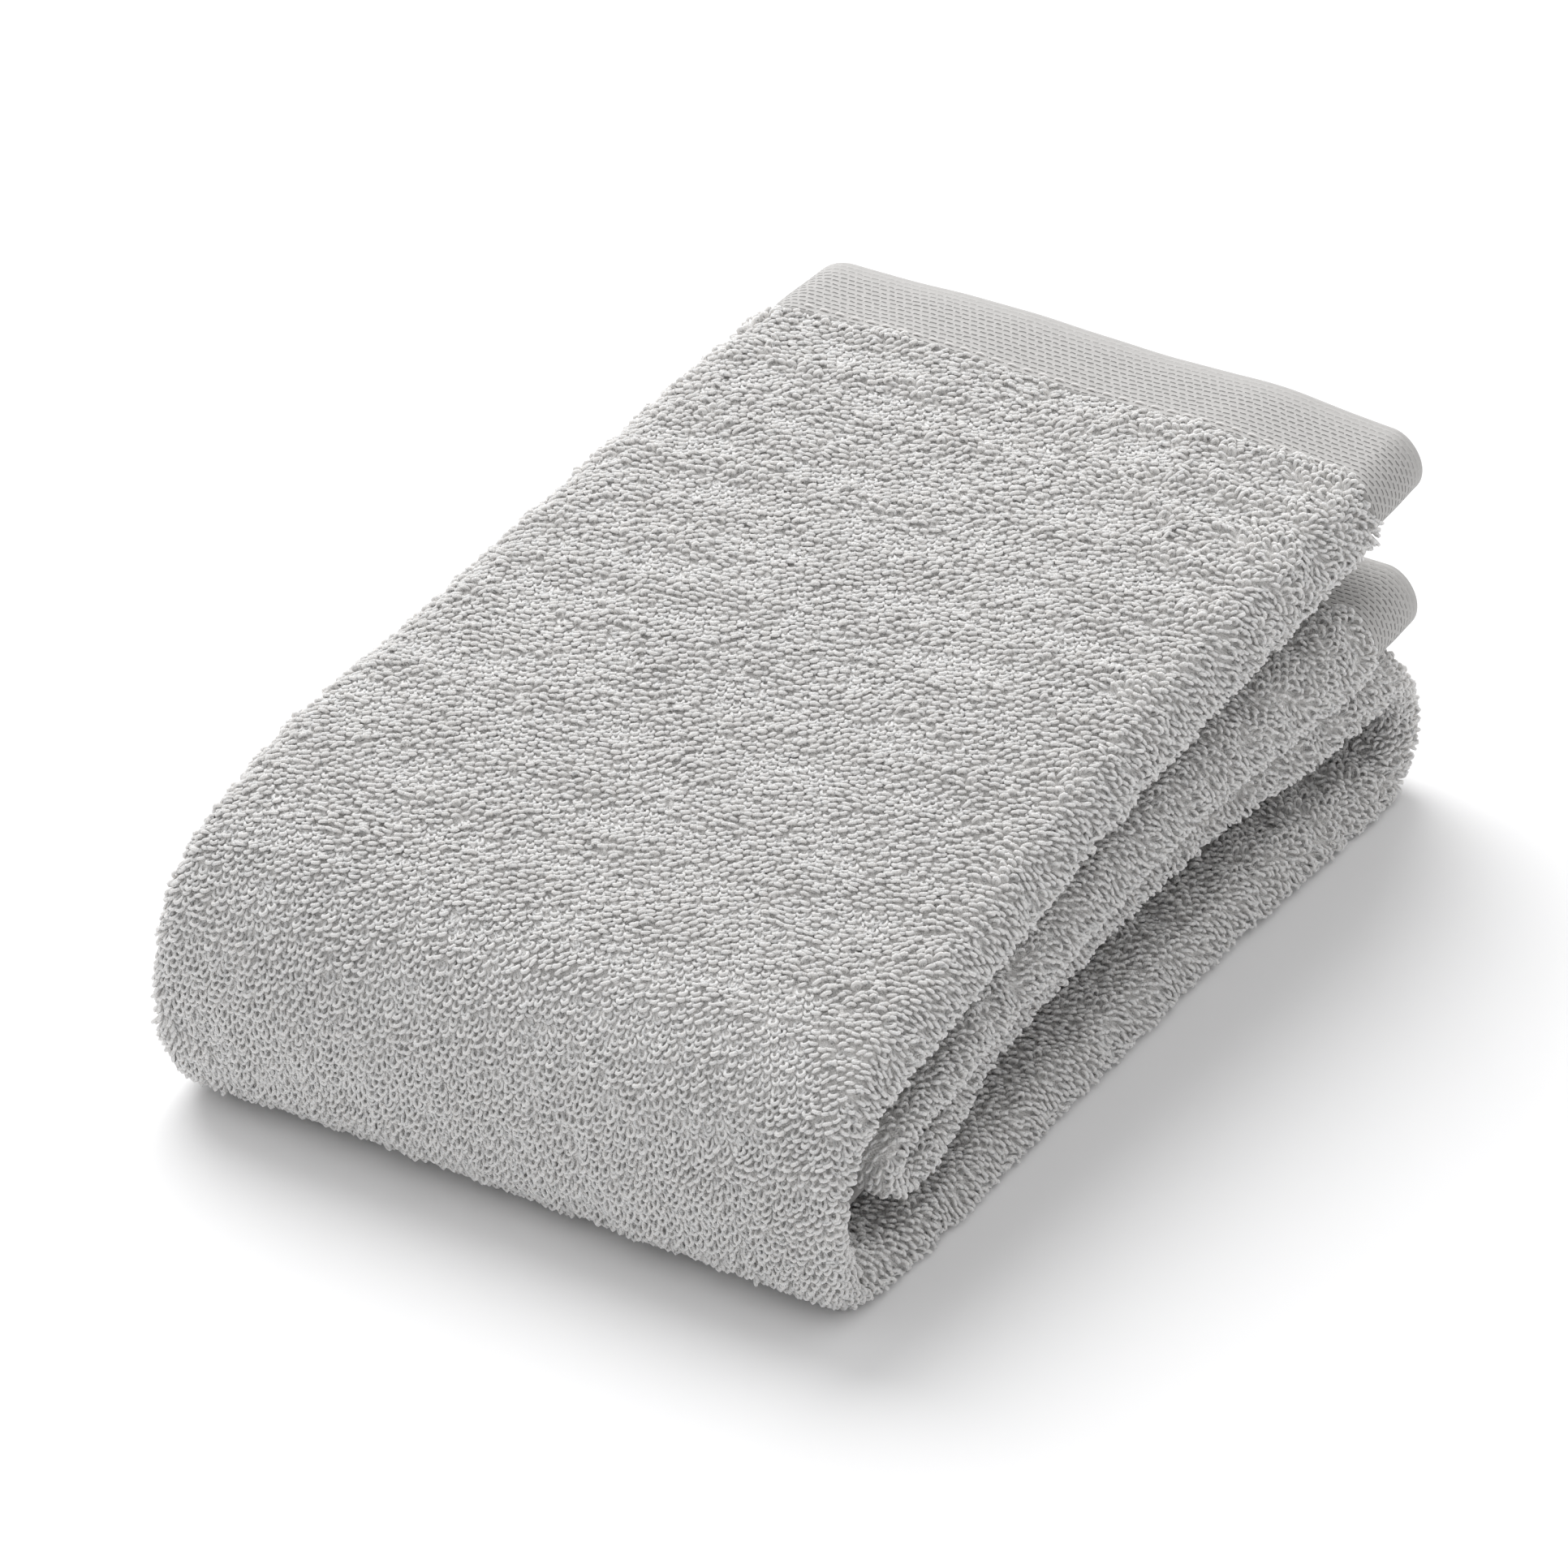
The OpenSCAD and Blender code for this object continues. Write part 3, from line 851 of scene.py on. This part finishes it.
def side_hem(strip):
    """Turned hem along the flap's free edge: a flat band with a round edge, following the flap."""
    arc = np.linspace(-math.pi / 2, math.pi / 2, 9)
    r = SIDE_HEM_T / 2
    low_x = np.linspace(-SIDE_HEM_W, -r, 5)[:-1]
    section_x = np.concatenate([low_x, -r + r * np.cos(arc), low_x[::-1]])
    section_h = np.concatenate([np.zeros(4), r + r * np.sin(arc), np.full(4, SIDE_HEM_T)])
    rows, cols = len(strip.flap), len(section_x)
    up = (strip.face - strip.flap) / strip.thick[:, None]
    base = strip.flap + up * HEM_DEPTH
    x = strip.flap_edge[:, None] + section_x[None, :] + 0.25 * np.sin(strip.flap[:, :1] / 6.0)
    yz = base[:, None, :] + section_h[None, :, None] * up[:, None, :]
    points = settle(np.concatenate([x[:, :, None], yz], 2)).reshape(-1, 3)
    index = np.arange(rows * cols).reshape(rows, cols)
    nxt = np.roll(index, -1, axis=1)
    walls = np.stack([index[:-1], nxt[:-1], nxt[1:], index[1:]], 2).reshape(-1, 4)
    half = cols // 2
    caps = []
    for row in (0, rows - 1):
        ring = index[row]
        for k in range(half):
            quad = [ring[k], ring[k + 1], ring[cols - 2 - k], ring[cols - 1 - k]]
            if len(set(quad)) == 4:
                caps.append(quad if row else quad[::-1])
    faces = np.concatenate([walls, np.array(caps, int)])
    return new_object(strip.name + "_side_hem_cloth", points, faces, HEM_MAT)


def thread_row(name, starts, ends, normals):
    """A row of stitches: each a short six-sided thread that rises out of the cloth, lies on it and dips in
    again."""
    steps = np.linspace(0, 1, 7)
    around = np.arange(6) * math.pi / 3
    lift = np.sin(math.pi * steps) ** 0.5 * 2 * THREAD_R - THREAD_R
    verts, faces = [], []
    for a, b, n in zip(starts, ends, normals):
        direction = (b - a) / np.linalg.norm(b - a)
        side = np.cross(direction, n)
        line = a + (b - a) * steps[:, None] + n * lift[:, None]
        first = len(verts)
        for p in line:
            for angle in around:
                verts.append(p + THREAD_R * (math.cos(angle) * side + math.sin(angle) * n))
        for i in range(len(line) - 1):
            for j in range(6):
                k = (j + 1) % 6
                ring = first + 6 * i
                faces.append([ring + j, ring + k, ring + 6 + k, ring + 6 + j])
        for ring, flip in ((first, True), (first + 6 * (len(line) - 1), False)):
            for quad in ([0, 1, 2, 3], [3, 4, 5, 0]):
                picked = [ring + q for q in quad]
                faces.append(picked[::-1] if flip else picked)
    return new_object(name, np.array(verts), np.array(faces), THREAD_MAT)


def side_stitching(strip, name):
    """Stitches along the side hem, on the flap's outer face."""
    up = (strip.face - strip.flap) / strip.thick[:, None]
    line = strip.flap + up * THREAD_DEPTH
    run = np.concatenate([[0], np.cumsum(np.linalg.norm(np.diff(line, axis=0), axis=1))])
    count = int(run[-1] / STITCH_PITCH)
    starts, ends, normals = [], [], []
    for k in range(count):
        middle = (k + 0.5) * run[-1] / count
        rows = [np.interp(middle + d * STITCH_L / 2, run, np.arange(len(run))) for d in (-1, 1)]
        points = []
        for row in rows:
            yz = [np.interp(row, np.arange(len(run)), line[:, i]) for i in range(2)]
            x = np.interp(row, np.arange(len(run)), strip.flap_edge) - SIDE_HEM_W * STITCH_PLACE
            points.append(settle(np.array([x, *yz])))
        n = up[int(round(rows[0]))]
        starts.append(points[0])
        ends.append(points[1])
        normals.append(np.array([0, -n[0], -n[1]]))
    return thread_row(name, starts, ends, normals)


def whole_strip(strip, body, keep_flap, keep_face):
    """Ground cloth, pile and side hem of a strip that moves with one body."""
    cloth = ground_cloth(strip.name + "_cloth", strip, [(0, strip.points.shape[1] - 1)])
    loops = strip_pile(strip, keep_flap, keep_face)
    hem = side_hem(strip)
    for piece in [cloth, *loops, hem]:
        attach(piece, body)
    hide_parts(strip.name)
    return cloth, loops, hem


def make_leaf(name, line, y0, y1, body, keep_flap, keep_face, recess=0.0, inner_rise=0.0):
    """One leaf: ground cloth, pile, side hem and its stitching, all on one body. The recess of its right
    side fades out at both ends."""
    y = stations(y0, y1)
    along = (y - y0) / (y1 - y0)
    recess = recess * smooth(4 * along) * smooth(3 - 3 * along)
    strip = Strip(name, *leaf_stations(line, y), SIDE_HEM_W, recess=recess, inner_rise=inner_rise)
    cloth, loops, hem = whole_strip(strip, body, keep_flap, keep_face)
    prefix = name.replace("_leaf", "")
    thread = side_stitching(strip, prefix + "_side_thread")
    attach(thread, body)
    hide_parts(prefix + "_side_hem")
    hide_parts(prefix + "_side_stitching")


def still_fold(name, flap, face, keep_flap, keep_face, rests_on):
    """A fold that stays closed, on the base."""
    strip = Strip(name, flap, face, SIDE_HEM_W)
    cloth, loops, hem = whole_strip(strip, "base", keep_flap, keep_face)


# ---------------------------------------------------------------- hem bands

BAND_STATIONS = 30
BAND_START = PILE_END_Y - 1.5   # where the band comes out from under the pile
BAND_INSET = 6.0        # how far the band's free edge stops short of the flap's
BAND_DEPTH = 0.45 * LOOP_DEPTH  # from the pile's surface down to the band
BAND_SAG = 0.15         # how far the band's right turn sags, as an angle
STITCH_STATION = 3      # station of the band where its stitches lie, close to the pile


def hem_band(name, line, body, node, stitch_node):
    """Flat woven band at the end of a leaf, with a rounded end fold and a row of stitches at the pile."""
    half = BAND_T / 2
    y = np.concatenate([np.linspace(BAND_START, HEM_Y - half, BAND_STATIONS),
                        HEM_Y - half + half * np.sin(np.linspace(0, math.pi / 2, 7)[1:])])
    flap, face = leaf_stations(line, y)
    strip = Strip(name, flap, face, BAND_INSET, sink=BAND_DEPTH + half, sag=BAND_SAG,
                  inner_rise=INNER_PLY_RISE)
    reach = np.clip((y - (HEM_Y - half)) / half, 0, 1)
    thin = half * np.sqrt(np.clip(1 - reach ** 2, 0.004, 1))[:, None, None]
    sides = (strip.points + strip.normals * thin, strip.points - strip.normals * thin)
    band = shells(name, [sides], BAND_MAT)
    # the slits grow faint towards the end fold, where there are none
    slits = smooth((HEM_Y - 1.0 - y) / 9.0) * 0.85 + 0.15
    slits = slits * smooth((HEM_Y - half - y) / 2.0)
    slits = np.broadcast_to(slits[:, None], strip.points.shape[:2])
    point_values(band.data, "slits", np.tile(slits, (2, 1)))
    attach(band, body)
    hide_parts(node)
    thread = hem_stitching(strip, name.replace("band", "thread"), half)
    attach(thread, body)
    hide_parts(stitch_node)


def hem_stitching(strip, name, half):
    """Stitches across the band, close to the edge of the pile, on the face side and the flap side."""
    starts, ends, normals = [], [], []
    for part in (FLAP, FACE):
        up = strip.normals[STITCH_STATION, column_of(part)]
        line = strip.points[STITCH_STATION, column_of(part)] + up * half
        run = np.concatenate([[0], np.cumsum(np.linalg.norm(np.diff(line, axis=0), axis=1))])
        count = int(run[-1] / STITCH_PITCH)
        for k in range(count):
            middle = (k + 0.5) * run[-1] / count
            a, b = (np.array([np.interp(middle + d * STITCH_L / 2, run, line[:, i]) for i in range(3)])
                    for d in (-1, 1))
            starts.append(a)
            ends.append(b)
            normals.append(up[int(len(line) * (k + 0.5) / count)])
    return thread_row(name, starts, ends, normals)


# ---------------------------------------------------------------- folds

FOLD_LAYERS = (0.0, 0.15, 0.32, 0.52, 0.74)     # where the front fold's layers start, from its inside out
FOLD_SPLIT = 20.0       # narrowest cloth that counts as a sheet of its own


def column_runs(picked):
    """First and last index of each run of true values, each run reaching to the start of the next column."""
    edges = np.flatnonzero(np.diff(np.concatenate([[0], picked.astype(int), [0]])))
    return [(int(a), min(int(b), len(picked) - 1)) for a, b in zip(edges[::2], edges[1::2])]


def run_widths(strip, runs):
    steps = np.linalg.norm(np.diff(strip.points[0], axis=0), axis=1)
    return sum(steps[first:last].sum() for first, last in runs)


def fold_half(name, angle0, angle1, nodes):
    """Half of the front fold. Cloth further out in the fold turns on a larger radius, so the half is made in
    layers from the inside out."""
    angle = np.linspace(angle0, angle1, 24)
    flap, face = front_fold_stations(angle)
    strip = Strip(name, flap, face, SIDE_HEM_W)
    _, height = section_rows(strip.thick, strip.inner, strip.left, strip.right,
                             strip.flap_edge - SIDE_HEM_W, strip.droop)
    share = (height / strip.thick[:, None]).mean(0)
    share[column_of(FACE)] = 1
    small, sheets = [], []
    for k, (low, high) in enumerate(zip(FOLD_LAYERS, (*FOLD_LAYERS[1:], math.inf))):
        runs = column_runs((share >= low - 1e-6) & (share < high))
        cloth = ground_cloth(f"{name}_layer_{k + 1}_cloth", strip, runs)
        loops = []
        for n, (first, last) in enumerate(runs):
            last = min(last, column_of(INNER).start + INNER_PILE)
            if last > first:
                loops += pile(strip, f"layer_{k + 1}_{n + 1}", first, last)
        for piece in [cloth, *loops]:
            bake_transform(piece)
        width = run_widths(strip, runs)
        (sheets if width > FOLD_SPLIT else small).append((cloth, loops, width, runs))
    hem = side_hem(strip)
    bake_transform(hem)
    for cloth, loops, width, runs in sheets:
        trim = list(loops)
        if cloth is sheets[-1][0]:
            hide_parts(*nodes)
            trim += [hem] + [piece for other, others, _, _ in small for piece in (other, *others)]


# ---------------------------------------------------------------- studio, in metres

CAMERA_AZIMUTH = math.radians(30.2)
CAMERA_ELEVATION = math.radians(30.9)
CAMERA_DISTANCE = 1.73
CAMERA_AIM = (0, 0, 0.035)
CAMERA_LENS = 184.7
CAMERA_SHIFT = (-0.012, 0.008)
FLOOR_HALF = 6.0
KEY_PLACE = (-0.95, 0.75, 1.45)
KEY_SIZE = 1.7
KEY_POWER = 32
WORLD_STRENGTH = 0.70


def add_camera():
    data = bpy.data.cameras.new("camera")
    camera = bpy.data.objects.new("camera", data)
    bpy.context.scene.collection.objects.link(camera)
    back = Vector((math.sin(CAMERA_AZIMUTH) * math.cos(CAMERA_ELEVATION),
                   -math.cos(CAMERA_AZIMUTH) * math.cos(CAMERA_ELEVATION), math.sin(CAMERA_ELEVATION)))
    camera.location = Vector(CAMERA_AIM) + back * CAMERA_DISTANCE
    camera.rotation_euler = back.to_track_quat("Z", "Y").to_euler()
    data.lens = CAMERA_LENS
    data.sensor_width = 36
    data.shift_x, data.shift_y = CAMERA_SHIFT
    bpy.context.scene.camera = camera


def add_floor():
    corners = np.array([(-1, -1, 0), (1, -1, 0), (1, 1, 0), (-1, 1, 0)]) * FLOOR_HALF / MM
    new_object("floor", corners, [[0, 1, 2, 3]], floor_material(), False)


def add_lights():
    """One large soft lamp at the back left, and an even white world."""
    data = bpy.data.lights.new("key", "AREA")
    data.shape = "DISK"
    data.size = KEY_SIZE
    data.energy = KEY_POWER
    light = bpy.data.objects.new("key", data)
    bpy.context.scene.collection.objects.link(light)
    light.location = KEY_PLACE
    light.rotation_euler = Vector(KEY_PLACE).to_track_quat("Z", "Y").to_euler()
    world = bpy.data.worlds.new("studio")
    world.use_nodes = True
    background = world.node_tree.nodes["Background"]
    background.inputs["Color"].default_value = (1, 1, 1, 1)
    background.inputs["Strength"].default_value = WORLD_STRENGTH
    bpy.context.scene.world = world
    bpy.context.scene.view_settings.view_transform = "Standard"


# ---------------------------------------------------------------- build

add_camera()
add_floor()
add_lights()

make_leaf("bottom_leaf", bottom_line, AXIS_Y, BACK_Y, "base", near_sides, everywhere)
still_fold("back_fold", *back_fold_stations(np.linspace(0, math.pi, 26)), near_sides, everywhere,
           ["bottom_leaf_cloth"])
make_leaf("third_leaf", third_line, AXIS_Y, BACK_Y, "base", near_sides, near_sides,
          recess=THIRD_RECESS)
still_fold("inner_fold", *inner_fold_stations(np.linspace(0, math.pi, 18)), everywhere, near_sides,
           ["third_leaf_cloth"])
make_leaf("second_leaf", second_line, AXIS_Y, PILE_END_Y, "base", everywhere,
          near_sides, recess=SECOND_RECESS, inner_rise=INNER_PLY_RISE)
make_leaf("top_leaf", top_line, AXIS_Y, PILE_END_Y, "top", everywhere, everywhere,
          inner_rise=INNER_PLY_RISE)
hem_band("second_band_cloth", second_line, "base", "second_hem_band", "second_hem_stitching")
hem_band("top_band_cloth", top_line, "top", "top_hem_band", "top_hem_stitching")
fold_half("front_fold_low", 0, math.pi / 2,
          ["front_fold_lower", "front_fold_middle"])
fold_half("front_fold_high", math.pi / 2, math.pi, ["front_fold_upper"])
